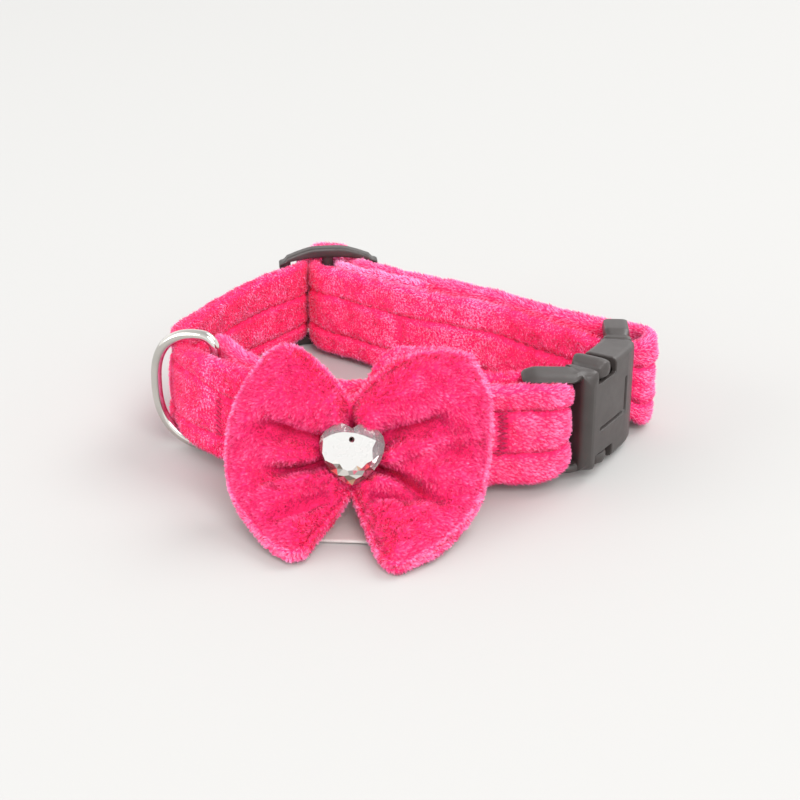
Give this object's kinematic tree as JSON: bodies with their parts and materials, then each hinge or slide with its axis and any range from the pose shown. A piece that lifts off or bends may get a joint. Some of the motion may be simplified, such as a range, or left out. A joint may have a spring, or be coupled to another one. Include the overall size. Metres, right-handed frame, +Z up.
{
  "type": "pet collar",
  "caption": "Fastened velvet pet collar with a side-release buckle, slider, leash ring and a sewn bow carrying a heart crystal.",
  "frame": {"origin": "middle of the collar's footprint, on the surface it stands on", "axes": "+Z up, from the strap's lower edge to its upper edge; -Y towards the bow; +X towards the buckle"},
  "size_m": [0.1196, 0.1328, 0.038],
  "materials": {
    "velvet": "matte",
    "plastic": "satin",
    "metal": "polished",
    "crystal": "polished",
    "satin": "satin"
  },
  "bodies": {
    "collar": {"strap": "velvet", "bow": "velvet", "heart_crystal": "crystal", "label": "satin", "slider": "plastic", "buckle_female": "plastic", "buckle_male": "plastic"},
    "leash_ring": {"d_ring": "metal"}
  },
  "joints": [
    {"name": "ring_swing", "type": "hinge", "parent": "collar", "child": "leash_ring", "pos_m": [-0.04361, -0.01042, 0.0156], "axis": [0, 0, 1], "range_deg": [0, 100]}
  ]
}
